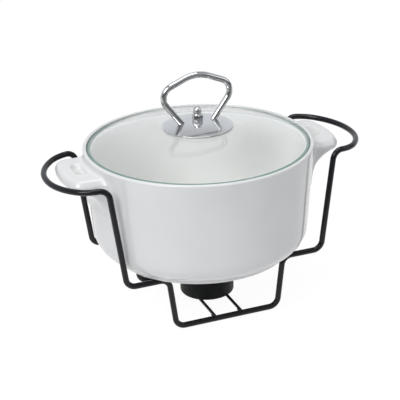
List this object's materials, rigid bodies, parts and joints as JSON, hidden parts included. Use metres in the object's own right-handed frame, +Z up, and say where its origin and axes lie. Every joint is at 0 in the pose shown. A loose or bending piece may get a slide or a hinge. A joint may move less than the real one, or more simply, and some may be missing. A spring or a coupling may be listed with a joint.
{
  "type": "casserole dish on warming stand",
  "caption": "Round porcelain casserole with side lugs and a lift-off domed glass lid with a bent rod handle, carried on a bent-wire warming stand with a candle cup.",
  "frame": {"origin": "on the table, under the middle of the wire stand", "axes": "+X towards the right lug, +Y towards the back, +Z up"},
  "size_m": [0.3152, 0.2196, 0.234],
  "materials": {
    "black_wire": "satin black powder coat",
    "black_cup": "matte black coating",
    "porcelain": "glossy white glaze",
    "lid_glass": "clear tempered glass with a green edge",
    "chrome": "polished",
    "steel": "plain zinc plated",
    "silicone": "translucent pale silicone",
    "tealight_foil": "drawn foil",
    "wax": "white paraffin wax",
    "wick": "waxed cotton"
  },
  "bodies": {
    "stand": {"front_wire": "black_wire", "back_wire": "black_wire", "cup_rail_left": "black_wire", "cup_rail_right": "black_wire", "candle_cup": "black_cup"},
    "dish": {"casserole_dish": "porcelain"},
    "lid": {"lid_glass": "lid_glass", "handle_plate": "chrome", "plate_gasket": "silicone", "lid_handle": "chrome", "cap_nut": "chrome", "lid_bolt": "steel", "bolt_washer": "steel", "bolt_bush": "silicone"},
    "tealight": {"tealight_shell": "tealight_foil", "tealight_wax": "wax", "wick_sustainer": "steel", "tealight_wick": "wick"}
  },
  "joints": [
    {"name": "dish_lift", "type": "slide", "parent": "stand", "child": "dish", "axis": [0, 0, 1], "range_m": [0, 0.12]},
    {"name": "lid_lift", "type": "slide", "parent": "dish", "child": "lid", "axis": [0, 0, 1], "range_m": [0, 0.1]},
    {"name": "tealight_lift", "type": "slide", "parent": "stand", "child": "tealight", "axis": [0, 0, 1], "range_m": [0, 0.0235]}
  ]
}
